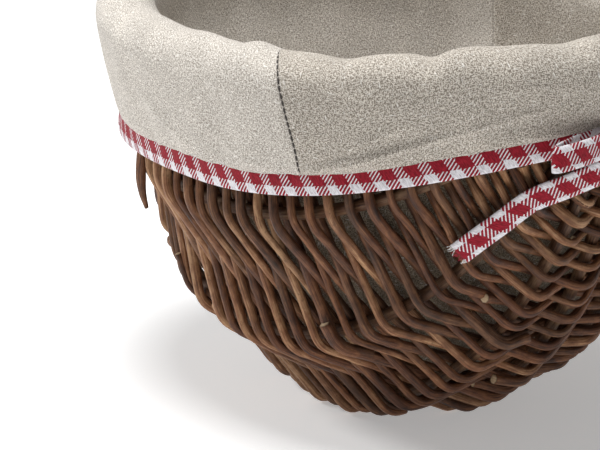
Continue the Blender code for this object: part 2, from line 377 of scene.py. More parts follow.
def gingham_material(name):
    """Cotton gingham with 5 mm checks; the mixed checks are hatched in red and white."""
    n = Nodes(name)
    cloth = n.attribute("cloth_place")
    x, y, _ = n.split(cloth)
    wobble = n.noise(cloth, (500, 500, 1), 1, 0.5)
    stripe = []
    for value, ragged in ((x, 0.4 * MM), (y, -0.35 * MM)):
        shift = n.span(wobble, 0.3, 0.7, -ragged, ragged)
        share = n.math("FRACT", n.math("DIVIDE", n.math("ADD", value, shift), 2 * CHECK))
        stripe.append(n.math("LESS_THAN", share, 0.55))
    both = n.math("MULTIPLY", *stripe)
    either = n.math("SUBTRACT", n.math("MAXIMUM", *stripe), both)
    diagonal = n.math("SUBTRACT", x, n.math("MULTIPLY", y, 1.25))
    threads = n.math("LESS_THAN", n.math("FRACT", n.math("DIVIDE", diagonal, HATCH)), 0.62)
    red = n.math("MAXIMUM", both, n.math("MULTIPLY", either, threads))
    ribs = n.noise(cloth, (1900, 500, 1), 2, 0.6)
    red_colour = n.ramp(ribs, [(0.35, (0.170, 0.003, 0.010)), (0.65, (0.36, 0.010, 0.026))])
    white_colour = n.ramp(ribs, [(0.3, (0.50, 0.47, 0.50)), (0.6, (0.82, 0.80, 0.83))])
    colour = n.mix(red, white_colour, red_colour)
    height = n.math("ADD", ribs, n.math("MULTIPLY", threads, 0.3))
    normal = n.bump(height, 0.25 * MM, 0.6)
    return n.finish(colour, 0.85, normal, Sheen_Weight=0.1, Specular_IOR_Level=0.25)


def thread_material(name, colour):
    n = Nodes(name)
    strands = n.noise(n.attribute("rod_place"), (3000, 900, 900), 2, 0.5)
    dark = tinted(colour, (0.55, 0.55, 0.55))
    look = n.ramp(strands, [(0.35, dark), (0.65, colour)])
    return n.finish(look, 0.7, n.bump(strands, 0.05 * MM, 0.5))


# ---- shapes of the frame

def power(value, exponent):
    return np.sign(value) * np.abs(value) ** exponent


def unit(vectors):
    return vectors / np.linalg.norm(vectors, axis=-1, keepdims=True)


def distances(line):
    """The distance from the line's start to each of its points."""
    return np.concatenate([[0], np.cumsum(np.linalg.norm(np.diff(line, axis=0), axis=1))])


def sample(at, places, values):
    """Interpolates vectors, given at the places, to the places in at."""
    return np.stack([np.interp(at, places, values[:, i]) for i in range(3)], -1)


def smooth_line(points, count):
    """Catmull-Rom curve through the points along axis 0."""
    p = np.concatenate([2 * points[:1] - points[1:2], points, 2 * points[-1:] - points[-2:-1]])
    t = np.linspace(0, len(points) - 1, count)
    i = np.minimum(t.astype(int), len(points) - 2)
    f = (t - i)[(slice(None),) + (None,) * (points.ndim - 1)]
    a, b, c, d = p[i], p[i + 1], p[i + 2], p[i + 3]
    squares = (2 * a - 5 * b + 4 * c - d) * f ** 2
    cubes = (3 * b - a - 3 * c + d) * f ** 3
    return 0.5 * (2 * b + (c - a) * f + squares + cubes)


def hull(u, psi, out=0.0, flat=True):
    """Points on the surface of the ribs' middles, moved out by out.

    u runs from ear to ear, and psi from the hoop's front round the bottom to its back."""
    half_width = (RIM_HALF_WIDTH + out) * np.sqrt(1 - np.abs(u) ** PLAN_POWER)
    depth = (HULL_DEPTH + out) * np.sqrt(1 - np.abs(u) ** KEEL_POWER)
    y = -half_width * power(np.cos(psi), 2 / SECTION_POWER)
    z = RIM_HEIGHT + RIM_RISE * u * u - depth * power(np.sin(psi), 2 / SECTION_POWER)
    if flat:
        z = np.maximum(z, BASE_LIFT - out)
    return np.stack([(RIM_HALF_LENGTH + out) * u + 0 * z, y + 0 * z, z], -1)


def rim(theta):
    """Points on the hoop's middle line at the angles theta round its outline."""
    x = power(np.cos(theta), 2 / PLAN_POWER)
    y = np.sin(theta)
    return np.stack([RIM_HALF_LENGTH * x, RIM_HALF_WIDTH * y, RIM_HEIGHT + RIM_RISE * x * x], -1)


def rim_outward(theta):
    """Level direction away from the basket, square to the hoop."""
    x = power(np.cos(theta), 2 / PLAN_POWER)
    slope_x = PLAN_POWER * power(x, PLAN_POWER - 1) / RIM_HALF_LENGTH
    slope_y = 2 * np.sin(theta) / RIM_HALF_WIDTH
    return unit(np.stack([slope_x, slope_y, 0 * x], -1))


def band(theta, height, out=0.0):
    """Points on the hem's binding, at a height above its lower edge."""
    x = power(np.cos(theta), 2 / BAND_POWER)
    y = power(np.sin(theta), 2 / BAND_POWER)
    rise = np.where(x > 0, BAND_RISE_BOW_END, BAND_RISE_FAR_END)
    z = BAND_LEVEL + rise * x * x + height
    place = np.stack([BAND_HALF_LENGTH * x, BAND_HALF_WIDTH * y, z], -1)
    return place + rim_outward(theta) * np.asarray(out)[..., None]


def bag(theta, phi, inset):
    """Points on the rib surface moved in, on the ray at theta round and phi below the hoop.

    The ray's length is found by halving."""
    across_x = np.cos(phi) * power(np.cos(theta), 2 / PLAN_POWER)
    across_y = np.cos(phi) * np.sin(theta)
    down = np.sin(phi) + 0 * theta
    low, high = np.full(across_x.shape, 0.5), np.full(across_x.shape, 1.3)
    for _ in range(40):
        reach = (low + high) / 2
        u = np.minimum(np.abs(across_x * reach), 0.9999)
        side = np.abs(across_y * reach) / np.sqrt(1 - u ** PLAN_POWER)
        drop = down * reach / np.sqrt(1 - u ** KEEL_POWER)
        outside = (side ** SECTION_POWER + drop ** SECTION_POWER > 1) | (u > 0.9998)
        high, low = np.where(outside, reach, high), np.where(outside, low, reach)
    u = across_x * reach
    x = (RIM_HALF_LENGTH - inset) * u
    y = (RIM_HALF_WIDTH - inset) * across_y * reach
    z = RIM_HEIGHT + RIM_RISE * u * u - (HULL_DEPTH - inset) * down * reach
    return np.stack([x, y, np.maximum(z, BAG_FLOOR + inset)], -1)


# ---- meshes

def set_attribute(mesh, name, values):
    values = np.asarray(values, np.float32)
    kind = "FLOAT_VECTOR" if values.ndim == 2 else "FLOAT"
    layer = mesh.attributes.new(name, kind, "POINT")
    layer.data.foreach_set("vector" if values.ndim == 2 else "value", values.ravel())


def add_mesh(name, points, faces, material, attributes):
    mesh = bpy.data.meshes.new(name)
    mesh.from_pydata(np.asarray(points).tolist(), [], faces)
    for key, values in attributes.items():
        set_attribute(mesh, key, values)
    mesh.materials.append(material)
    mesh.shade_smooth()
    piece = add_object(name, mesh)
    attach(piece, "root")
    return piece


def tube_parts(path, radii, sides, tone, start=0.0):
    """Points, faces and attributes of a round rod along the path, with slightly domed cut ends."""
    path, radii = np.asarray(path), np.broadcast_to(radii, len(path))
    tangent = unit(np.gradient(path, axis=0))
    side = unit(np.cross(tangent[0], [0.3, 0.2, 1.0]))
    sides_at = [side]
    for t in tangent[1:]:
        side = unit(side - t * side.dot(t))
        sides_at.append(side)
    across = np.array(sides_at)
    turn, ring = circles(tangent, across, sides)
    points = (path[:, None] + ring * radii[:, None, None]).reshape(-1, 3)
    place = np.stack([
        np.repeat(start + distances(path), sides),
        (radii[:, None] * np.cos(turn)).ravel() + tone * 3,
        (radii[:, None] * np.sin(turn)).ravel(),
    ], 1)
    faces = grid_faces(len(path), sides, False, True)
    ends = []
    for index, sign in ((0, -1), (len(path) - 1, 1)):
        ahead = sign * tangent[index] * radii[index]
        ring_points = path[index] + ring[index] * radii[index] * END_RING + ahead * END_RING_OUT
        base = index * sides
        inner_base = len(points) + len(ends) * (sides + 1)
        ends.append(np.vstack([ring_points, path[index] + ahead * END_DOME]))
        for j in range(sides):
            k = (j + 1) % sides
            quad = (base + j, inner_base + j, inner_base + k, base + k)
            tri = (inner_base + j, inner_base + sides, inner_base + k)
            faces += [quad, tri] if sign > 0 else [quad[::-1], tri[::-1]]
    cut = np.repeat([0, 1], [len(points), 2 * (sides + 1)])
    attributes = rod_attributes(np.vstack([place, *ends]), tone, cut)
    return np.vstack([points, *ends]), faces, attributes


def rod_attributes(place, tone, cut):
    """What the bark reads at each point: its place, the rod's tone, and 1 on a cut end."""
    zeros = np.zeros(len(place))
    return {"rod_place": place, "rod_tone": zeros + tone, "rod_cut": zeros + cut}


def circles(tangent, across, sides):
    """Angles of a rod's sides, and their directions at each point of its path."""
    other = np.cross(tangent, across)
    turn = np.linspace(0, 2 * np.pi, sides, endpoint=False)
    ring = across[:, None] * np.cos(turn)[:, None] + other[:, None] * np.sin(turn)[:, None]
    return turn, ring


def grid_faces(rows, columns, closed_rows, closed_columns):
    """Faces of a grid of points in rows, which may close on itself either way."""
    return [
        (i * columns + j, (i + 1) % rows * columns + j,
         (i + 1) % rows * columns + (j + 1) % columns, i * columns + (j + 1) % columns)
        for i in range(rows if closed_rows else rows - 1)
        for j in range(columns if closed_columns else columns - 1)
    ]


def add_rod(name, path, radii, material, sides=9, tone=None):
    tone = rng.random() if tone is None else tone
    points, faces, attributes = tube_parts(path, radii, sides, tone, rng.random() * 5)
    return add_mesh(name, points, faces, material, attributes)


def add_rods_as_one(name, paths, radius, sides, material):
    """Many short threads as one piece."""
    points, faces, parts = [], [], {"rod_place": [], "rod_tone": [], "rod_cut": []}
    for path in paths:
        thread_points, thread_faces, attributes = tube_parts(path, radius, sides, 0.5)
        base = len(points) * len(thread_points)
        points.append(thread_points)
        faces += [tuple(base + i for i in face) for face in thread_faces]
        for key, values in parts.items():
            values.append(attributes[key])
    joined = {key: np.concatenate(values) for key, values in parts.items()}
    add_mesh(name, np.vstack(points), faces, material, joined)


def add_ring(name, path, radius, material):
    """A closed hoop."""
    tangent = unit(np.roll(path, -1, 0) - np.roll(path, 1, 0))
    turn, ring = circles(tangent, unit(np.cross(tangent, UP)), FRAME_SIDES)
    points = (path[:, None] + radius * ring).reshape(-1, 3)
    place = np.stack([
        np.repeat(distances(path), FRAME_SIDES),
        np.tile(radius * np.cos(turn), len(path)),
        np.tile(radius * np.sin(turn), len(path)),
    ], 1)
    faces = grid_faces(len(path), FRAME_SIDES, True, True)
    return add_mesh(name, points, faces, material, rod_attributes(place, 0.6, 0))


def add_sheet(name, points, place, thickness, material, closed=False, reverse=None):
    """A grid of points as a sheet with thickness. place is each point's spot on the flat cloth.

    A closed sheet is a tube. reverse is the material of the side that the grid's normals point to."""
    faces = grid_faces(*points.shape[:2], False, closed)
    attributes = {"cloth_place": place.reshape(-1, 3)}
    piece = add_mesh(name, points.reshape(-1, 3), faces, material, attributes)
    if thickness:
        shell = piece.modifiers.new("thickness", "SOLIDIFY")
        shell.thickness = thickness
        shell.offset = 0
        if reverse:
            piece.data.materials.clear()
            piece.data.materials.append(reverse)
            piece.data.materials.append(material)
            shell.material_offset = 1
            shell.material_offset_rim = 1
    return piece


# ---- willow

def build_frame(material):
    theta = np.linspace(0, 2 * np.pi, 160, endpoint=False)
    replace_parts(add_ring("hoop_rod", rim(theta), RIM_ROD_RADIUS, material), "rim_hoop")
    spread = np.sin(np.radians(np.linspace(-78.5, 78.5, 90)))
    for name, angle in RIBS.items():
        line = hull(RIB_END * spread / spread[-1], np.radians(angle))
        wander = np.cumsum(rng.normal(0, 0.012 * MM, len(line)))
        line[:, 1] += wander - np.linspace(wander[0], wander[-1], len(line))
        size = RIB_RADIUS * np.linspace(1.04, 0.95, len(line))
        tone = 0.62 + 0.25 * rng.random()
        piece = add_rod(f"{name}_rod", line, size, material, FRAME_SIDES, tone)
        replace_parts(piece, name)


def weaver_lines():
    """The lines that the weavers cross: angle, u, and the distance from the bow end at each u."""
    u = np.linspace(ROW_END, -ROW_END, 3000)
    lines = []
    for angle in (0, *RIBS.values(), 180):
        points = hull(u, math.radians(angle), 0.0, False)
        lines.append((math.radians(angle), u, distances(points)))
    return lines


def plan_passes(lines):
    """Every pass of the weave, as the lines it crosses and how far from the bow end it crosses them.

    All lines fill at the same pace from the bow end. The low ribs are longer than the hoop, so short
    passes that turn back at a rib make up the difference near the far end."""
    length = np.array([along[-1] for _, _, along in lines])
    rim_length, extra = length[0], length - length[0]
    reference = np.linspace(0, rim_length, 2000)
    share = np.clip((reference / rim_length - FILL_START) / (FILL_END - FILL_START), 0, 1)
    share = share * share * (3 - 2 * share)
    target = reference[:, None] + extra[None] * share[:, None]
    count = len(lines)
    keel = count // 2
    place, step = np.zeros(count), np.full(count, ROW_PITCH)
    passes, turn, forward = [], 0, True
    while True:
        pitch = ROW_PITCH * rng.uniform(0.93, 1.07)
        way = 1 if forward else -1
        crossed = []
        for k in range(turn, keel, way):
            place[k] += step[k]
            crossed.append((k, place[k]))
        place[keel] += pitch
        crossed.append((keel, place[keel]))
        if place[keel] + pitch > length[keel]:
            break
        goal = target[np.searchsorted(target[:, keel], place[keel] + pitch)]
        for k in range(keel + way, count if forward else -1, way):
            behind = goal[k] - place[k]
            if behind < 1.8 * pitch:
                break
            step[k] = min(behind / 2, 1.15 * pitch)
            place[k] += step[k]
            crossed.append((k, place[k]))
        turn = crossed[-1][0]
        passes.append(crossed)
        forward = not forward
    return passes


def line_point(line, distance, out):
    angle, u, along = line
    return hull(np.interp(distance, along, u), angle, out)


def turn_back(line, first, second, radius, outside_first):
    """The weaver's turn round the hoop or a rib, on the side that faces the hoop."""
    middle = (first + second) / 2
    centre = line_point(line, middle, 0.0)
    outward = unit(line_point(line, middle, radius) - line_point(line, middle, -radius))
    ahead = unit(line_point(line, middle + 1 * MM, 0.0) - line_point(line, middle - 1 * MM, 0.0))
    over = np.cross(ahead, outward)
    over *= 1 if over[2] > 0 else -1
    turn = np.radians([35, 65, 90, 115, 145])
    if not outside_first:
        turn = turn[::-1]
    slide = np.linspace(-0.3, 0.3, 5)[:, None] * (second - first) * ahead
    return centre + slide + radius * (np.cos(turn)[:, None] * outward + np.sin(turn)[:, None] * over)


def round_corners(corners, reach):
    """The line through the corners, each rounded over a short reach on both sides."""
    line = [corners[:1]]
    t = np.linspace(0, 1, CORNER_POINTS)[:, None]
    for before, corner, after in zip(corners[:-2], corners[1:-1], corners[2:]):
        start, end = before - corner, after - corner
        start *= min(reach / np.linalg.norm(start), CORNER_SHARE)
        end *= min(reach / np.linalg.norm(end), CORNER_SHARE)
        line.append(corner + start * (1 - t) ** 2 + end * t ** 2)
    line.append(corners[-1:])
    return np.vstack(line)


def room_below_hem(point):
    """How much an elbow stands out: not under the cuff, and less towards the far end."""
    share = point[0] / BAND_HALF_LENGTH
    rise = BAND_RISE_BOW_END if share > 0 else BAND_RISE_FAR_END
    hem = BAND_LEVEL + rise * share * share
    below = min(max((hem - point[2]) / (10 * MM), 0), 1)
    return below * float(np.interp(point[0], [-60 * MM, 0], [0.35, 1]))


def weave_path():
    """One line along all passes, its distances, and those at which it crosses ribs."""
    lines = weaver_lines()
    passes = plan_passes(lines)
    corners, marks = [], []
    for i, crossed in enumerate(passes):
        for at, (k, distance) in enumerate(crossed):
            outside = (i + k) % 2 == 0
            core = RIM_ROD_RADIUS if k in (0, len(lines) - 1) else RIB_RADIUS
            swing = core + ROD_RADIUS
            if outside and 0 < at < len(crossed) - 1:
                swing += ELBOW_LIFT * room_below_hem(line_point(lines[k], distance, 0.0))
            if at == 0 and i:
                previous = passes[i - 1][-1]
                radius = core + ROD_RADIUS
                corners += list(turn_back(lines[k], previous[1], distance, radius, not outside))
            if 0 < at < len(crossed) - 1:
                marks.append(len(corners))
            corners.append(line_point(lines[k], distance, swing if outside else -swing))
    corners = np.array(corners)
    path = round_corners(corners, ELBOW_REACH)
    along = distances(path)
    at_corner = along[1 + CORNER_POINTS * (np.array(marks) - 1) + CORNER_POINTS // 2]
    return path, along, at_corner


def outward_from_middle(line):
    """Direction out of the basket at each point of a line."""
    middle = np.array([0, 0, RIM_HEIGHT])
    return unit((line - middle) / np.array([RIM_HALF_LENGTH, RIM_HALF_WIDTH, HULL_DEPTH]) ** 2)


def add_loose_end(material):
    """A weaver's broken tip that stands off the wall under the cuff."""
    line = [hull(np.array(u), math.radians(angle), out * MM) for u, angle, out in LOOSE_END]
    line = smooth_line(np.array(line), 16)
    radii = np.interp(np.arange(16), [0, 9, 15], [2.3, 2.2, 0.9]) * MM
    add_rod("weaver_loose_end", line, radii, material)


def cut_into_rods(marks, length):
    """The distances at which one rod ends and the next begins."""
    cuts, at = [0.0], 0
    while True:
        at += int(round(len(RIBS) * PASSES_IN_A_ROD + rng.uniform(-3, 3)))
        if at >= len(marks) - 5:
            break
        cuts.append(marks[at])
    return [*cuts, length]


def bend_rod(line, distance, index):
    """Makes a rod's line wander, and moves its ends aside and out to pass the next rods."""
    for axis in range(3):
        for wave, amount in ROD_WAVES:
            line[:, axis] += amount * MM * np.sin(2 * np.pi * (distance / (wave * MM) + rng.random()))
    side = END_ASIDE * (1 if index % 2 else -1)
    fade = np.exp(-(distance - distance[0]) / END_FADE)
    line[:, 0] += side * (fade - fade[::-1])
    below_hem = np.clip((BELOW_HEM - line[:, 2]) / (12 * MM), 0, 1)
    line += outward_from_middle(line) * (END_OUT * (fade - 0.6 * fade[::-1]) * below_hem)[:, None]


def rod_radii(distance, index):
    """A rod tapers from butt to tip and is thicker at its buds. Every second rod lies tip first."""
    ends = ROD_ENDS if index % 2 else ROD_ENDS[::-1]
    size = np.linspace(*ends, len(distance)) * rng.uniform(0.9, 1.05)
    reach = distance - distance[0]
    for spot in rng.uniform(0, reach[-1], int(rng.integers(6, 12))):
        size = size * (1 + BUD_SWELL * np.exp(-((reach - spot) / (2.6 * MM)) ** 2))
    return size


def build_weavers(material):
    """All weavers, each a willow rod of its own that makes about two passes."""
    path, along, marks = weave_path()
    cuts = cut_into_rods(marks, along[-1])
    pieces = []
    for index, (a, b) in enumerate(zip(cuts[:-1], cuts[1:])):
        lead = rng.uniform(9, 20, 2) * MM
        distance = np.arange(max(a - lead[0], 0), min(b + lead[1], along[-1]), ROD_STEP)
        line = sample(distance, along, path)
        line[1:-1] = (line[:-2] + 2 * line[1:-1] + line[2:]) / 4
        bend_rod(line, distance, index)
        size = rod_radii(distance, index)
        line[:, 2] = np.maximum(line[:, 2], size)
        pieces.append(add_rod(f"weaver_{index + 1:02d}", line, size, material, sides=WEAVER_SIDES))
    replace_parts(pieces[0], *[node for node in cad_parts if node.startswith("weave_")])


def dress_ear_pads(material):
    """Gives the CAD's two ear pads the weavers' bark."""
    for name in ("ear_pad_bow_end", "ear_pad_far_end"):
        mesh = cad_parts[name].data
        points = np.array([v.co for v in mesh.vertices])
        for key, values in rod_attributes(points[:, [1, 0, 2]], 0.5, 0).items():
            set_attribute(mesh, key, values)
        mesh.materials.clear()
        mesh.materials.append(material)


# ---- linen liner

def ripple(theta, waves):
    """Sum of waves round the basket, each a height in mm, a number of waves and a phase."""
    return sum(height * MM * np.sin(count * theta + phase) for height, count, phase in waves)


def bumps(theta, features):
    """Sum of bumps round the basket, each a height in mm, a place and a half width in degrees."""
    total = 0 * theta
    for height, angle, width in features:
        gap = (np.degrees(theta) - angle + 180) % 360 - 180
        total = total + height * MM * np.exp(-(gap / width) ** 2)
    return total


# Ups and downs of the linen round the basket: height in mm, place and half width in degrees
CREST = (
    (2.0, -77, 3), (-2.4, -59, 5), (-1.8, -42, 2.5), (1.1, -35, 5), (0.9, -90, 3), (-1.6, -112, 6),
    (1.2, -128, 5), (-1.5, -150, 6), (1.0, 170, 6), (-1.8, 150, 5), (1.2, 133, 5), (-1.5, 118, 4),
    (-1.8, 95, 5), (1.4, 80, 5), (-1.6, 62, 4), (1.0, 45, 5), (-1.4, 25, 5), (1.2, 5, 6), (-1.2, -15, 4),
)
FLARE = ((1.7, -130, 24), (1.0, 150, 20), (0.8, 60, 18))
TUCKS = (
    (2.6, -56, 8), (1.6, -77, 5), (1.6, -20, 8), (1.2, -112, 7), (2.0, 20, 9), (1.8, 75, 10),
    (1.6, 140, 9),
)
# The liner's rows: degrees below the hoop and share of the ripples' height on the wall, degrees round the
# fold, and shares of the way down the cuff
WALL_STEPS = (
    (BASE_SEAM_ANGLE, 0.05), (46, 0.6), (40, 0.9), (34, 1.0), (28, 1.0), (22, 0.9), (15, 0.7), (8, 0.4),
)
FOLD_STEPS = (180, 150, 120, 90, 60, 30, 0)
DRAPE_STEPS = (0.15, 0.32, 0.5, 0.66, 0.8, 0.9, 1)
WALL_WAVES = ((1.0, 17, 0.5), (0.8, 29, 1.7), (0.6, 41, 0.2))
CREST_WAVES = ((0.25, 13, 2.0),)
PUFF_WAVES = ((0.5, 4, 2.0), (0.4, 9, 0.3))
SWAY_WAVES = ((0.6, 6, 0.9), (0.5, 11, 2.2), (0.55, 19, 0.5), (0.35, 33, 1.9))
GATHER_WAVES = ((0.25, 61, 0.3), (0.2, 97, 1.3))
PUCKER_WAVES = ((0.18, 97, 0.2), (0.15, 61, 1.4))
# How far the cloth is turned round the basket, by the share of the way from the base seam to the hem
TWIST_PLACES = (0, 0.5, 0.54, 0.57, 0.62, 0.67, 0.72, 0.80, 0.88, 1)
TWIST_DEGREES = (-5, -5.4, -4.5, -3.3, -1.8, -1.0, -0.4, 0.5, 0.9, 0.7)
# Pulled folds of the cuff: angle and share of the cloth's length at both ends, height and half width
FOLDS = (
    (-65.5, 0.975, -40, 0.86, 1.5, 2.2), (-40, 0.86, -22, 0.80, 0.9, 3.0), (-60, 0.88, -46, 0.80, 0.7, 2.6),
    (-92, 0.93, -104, 0.78, 0.8, 3.0), (-76, 0.95, -86, 0.84, 0.6, 2.4), (-18, 0.95, -14, 0.80, 1.2, 3.4),
    (-118, 0.94, -112, 0.80, 0.8, 3.0), (14, 0.95, 26, 0.80, 1.0, 3.0), (60, 0.94, 48, 0.82, 0.9, 2.8),
    (98, 0.95, 90, 0.80, 0.9, 3.0), (150, 0.94, 160, 0.82, 1.0, 3.2), (196, 0.95, 188, 0.82, 0.9, 3.0),
)


def liner_grid(theta, count):
    """Linen from the base seam up the wall, over the hoop and down to the hem, for each theta."""
    kinds = ((wall_row, WALL_STEPS), (fold_row, FOLD_STEPS), (drape_row, DRAPE_STEPS))
    steps = [(make_row, step) for make_row, values in kinds for step in values]
    rows = []
    for i, (make_row, step) in enumerate(steps):
        turned = theta + np.radians(np.interp(i / (len(steps) - 1), TWIST_PLACES, TWIST_DEGREES))
        rows.append(make_row(turned, rim_outward(turned), step))
    return smooth_line(np.array(rows), count).transpose(1, 0, 2)


def wall_row(theta, outward, step):
    angle, depth = step
    folds = ripple(theta, WALL_WAVES)
    place = bag(theta, math.radians(angle), BAG_INSET)
    return place - outward * (0.3 * MM + depth * (0.9 * MM + folds))[:, None]


def fold_centre(theta, outward):
    return rim(theta) + outward * FOLD_OUT + UP * FOLD_UP


def fold_row(theta, outward, angle):
    across, up = math.cos(math.radians(angle)), math.sin(math.radians(angle))
    lift = bumps(theta, CREST) + ripple(theta, CREST_WAVES)
    puff = (ripple(theta, PUFF_WAVES) + bumps(theta, FLARE)) * max(across, 0)
    beside = outward * ((FOLD_RADIUS + puff) * across)[:, None]
    return fold_centre(theta, outward) + beside + UP * ((FOLD_RADIUS + lift) * up)[:, None]


def drape_row(theta, outward, share):
    flare = bumps(theta, FLARE)
    start = fold_centre(theta, outward) + outward * (FOLD_RADIUS + flare)[:, None]
    hem = band(theta, BAND_WIDTH - 2.0 * MM)
    bulge = (CUFF_BULGE - 0.9 * flare) * math.sin(math.pi * share ** 0.8)
    sway = ripple(theta, SWAY_WAVES) * math.sin(math.pi * share)
    gather = ripple(theta, GATHER_WAVES) * share ** 3
    tuck = bumps(theta, TUCKS) * np.interp(share, [0.4, 0.66, 0.8, 0.9, 1], [0, 0.35, 0.8, 1, 0])
    out = bulge + sway + (gather + tuck) * (share < 0.95)
    return start + (hem - start) * share + outward * out[:, None]


def add_creases(grid, place, count):
    """Small soft creases at random places on the cuff."""
    normal = unit(np.cross(np.gradient(grid, axis=0), np.gradient(grid, axis=1)))
    size = place.max((0, 1)) - place.min((0, 1))
    for _ in range(count):
        spot = place.min((0, 1)) + size * [rng.random(), rng.uniform(0.62, 0.97), 0]
        angle = rng.uniform(0, math.pi)
        long, wide = rng.uniform(6, 14) * MM, rng.uniform(1.8, 3.2) * MM
        x, y = place[..., 0] - spot[0], place[..., 1] - spot[1]
        along = x * math.cos(angle) + y * math.sin(angle)
        side = y * math.cos(angle) - x * math.sin(angle)
        amount = rng.uniform(-0.7, 0.7) * MM
        grid += normal * (amount * np.exp(-(along / long) ** 2 - (side / wide) ** 2))[..., None]


def add_folds(grid, theta, share):
    """Long folds pulled slanting across the cuff, each wider on one side."""
    for angle, level, angle_end, level_end, height, wide in FOLDS:
        turns = round((np.degrees(theta.mean()) - angle) / 360)
        x = (theta[:, None] - math.radians(angle + 360 * turns)) * CUFF_RADIUS
        y = (share[None] - level) * CLOTH_LENGTH
        reach_x = math.radians(angle_end - angle) * CUFF_RADIUS
        reach_y = (level_end - level) * CLOTH_LENGTH
        length = math.hypot(reach_x, reach_y)
        along = (x * reach_x + y * reach_y) / length
        side = (x * reach_y - y * reach_x) / length
        below = side * np.sign(reach_x) < 0
        fade = np.exp(-(np.maximum(np.abs(along - length / 2) - length * 0.38, 0) / (7 * MM)) ** 2)
        wide_here = np.where(below, 0.6, 1.5) * wide * MM
        bump = height * MM * np.exp(-(side / wide_here) ** 2) * fade
        grid += rim_outward(theta)[:, None] * bump[..., None]


def cloth_place(grid, start):
    """Spot of each point on the flat cloth: distance along one row of the cuff and down each column."""
    along = start + distances(grid[:, grid.shape[1] * 2 // 3])
    down = np.array([distances(column) for column in grid])
    return np.stack([np.repeat(along[:, None], grid.shape[1], 1), down, 0 * down], -1)


def on_cuff(share):
    """1 on the turned-out cuff, fading to 0 over the hoop and at the hem."""
    return np.clip((share - 0.5) / 0.12, 0, 1) * np.clip((1 - share) / 0.05, 0, 1)


def build_panel(name, start, end, shift, material, reverse):
    """One of the liner's two side panels, with a low ridge along each seam."""
    theta = np.radians(np.linspace(start, end, LINER_COLUMNS))
    grid = liner_grid(theta, LINER_ROWS)
    share = np.linspace(0, 1, LINER_ROWS)
    from_seam = np.degrees(np.minimum(theta - theta[0], theta[-1] - theta))
    ridge = 1.3 * MM * np.exp(-from_seam / 5) - 0.6 * MM * np.exp(-(from_seam / 0.7) ** 2)
    grid += (rim_outward(theta) * ridge[:, None])[:, None] * on_cuff(share)[None, :, None]
    place = cloth_place(grid, shift)
    add_creases(grid, place, CREASES)
    add_folds(grid, theta, share)
    piece = add_sheet(f"{name}_linen", grid, place, LINEN_THICKNESS, material, reverse=reverse)
    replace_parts(piece, name)


def build_base(material, reverse):
    """The oval of linen at the bottom of the bag, as a square grid made round."""
    s = np.linspace(-1, 1, 61)
    x, y = np.meshgrid(s, s)
    disc_x, disc_y = x * np.sqrt(1 - y * y / 2), y * np.sqrt(1 - x * x / 2)
    reach = np.minimum(np.hypot(disc_x, disc_y), 1)
    phi = np.radians(90 + (BASE_SEAM_ANGLE + 0.5 - 90) * reach)
    grid = bag(np.arctan2(disc_y, disc_x), phi, BAG_INSET)
    waves = 0.6 * np.sin(60 * grid[..., 0]) + 0.5 * np.sin(83 * grid[..., 1] + 1)
    grid[..., 2] += waves * MM * (1 - reach ** 4) + 1 * MM
    place = np.stack([grid[..., 0], grid[..., 1], 0 * reach], -1)
    piece = add_sheet("liner_base_linen", grid, place, LINEN_THICKNESS, material, reverse=reverse)
    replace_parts(piece, "liner_base")


def build_seam(name, seam, thread):
    """Stitches along a seam, from the top of the hoop to the hem."""
    line = liner_grid(np.radians(np.array([seam, seam + 0.1])), LINER_ROWS)[0]
    line = line[int(SEAM_START * LINER_ROWS):]
    outward = rim_outward(np.radians(float(seam)))
    share = np.linspace(SEAM_START, 1, len(line))
    line = line + outward * (0.7 * MM * on_cuff(share))[:, None]
    add_stitches(name, line, outward, SEAM_STITCH, thread)


def build_liner(material, darker, reverse, thread):
    # reverse is painted shade on the linen's side that faces the willow.
    first, second = LINER_SEAMS
    # The right panel and the base take the darker linen, which is partly painted shade.
    build_panel("liner_right", first, second, 0.3, darker, reverse)
    build_panel("liner_left", second, first + 360, 1.1, material, reverse)
    build_base(darker, reverse)
    for index, seam in enumerate(LINER_SEAMS):
        build_seam(f"seam_stitches_{index + 1}", seam, thread)


def add_stitches(name, line, outward, stitch, material):
    """A row of short stitches along a line, as one piece."""
    pitch, length, radius, raised = stitch
    along = distances(line)
    outward = np.broadcast_to(outward, line.shape)
    span = np.linspace(-1, 1, 6)
    height = raised + radius * (np.sqrt(1 - span ** 2) - 0.6)
    paths = []
    for k in range(int(along[-1] / pitch)):
        at = np.clip((k + 0.5) * pitch + span * length / 2, 0, along[-1])
        paths.append(sample(at, along, line) + sample(at, along, outward) * height[:, None])
    add_rods_as_one(name, paths, radius, 6, material)


# ---- gingham

def build_binding(material, thread):
    """The folded binding round the hem: a flattened tube of cloth that holds the linen's edge."""
    theta = np.radians(np.linspace(BAND_START, 360 - BAND_START, 520))
    half = BAND_WIDTH / 2
    turn = np.linspace(0, 2 * np.pi, 28, endpoint=False)
    high = half * power(np.cos(turn), 0.55)
    out = BAND_DEPTH * power(np.sin(turn), 0.6)
    pucker = ripple(theta, PUCKER_WAVES)
    columns = [band(theta, half + h, o + pucker * (1 - abs(h) / half)) for h, o in zip(high, out)]
    grid = np.stack(columns, 1)
    along = distances(band(theta, half))
    height = np.broadcast_to(high, grid.shape[:2])
    place = np.stack([along[:, None] + GINGHAM_SKEW * height, height + BAND_STRIPE, 0 * height], -1)
    piece = add_sheet("hem_binding_gingham", grid, place, 0, material, closed=True)
    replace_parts(piece, "hem_binding")
    cap_ends(piece, len(theta), len(turn))
    line = band(theta, BAND_WIDTH + 0.1 * MM)
    add_stitches("binding_stitches", line, rim_outward(theta), BAND_STITCH, thread)


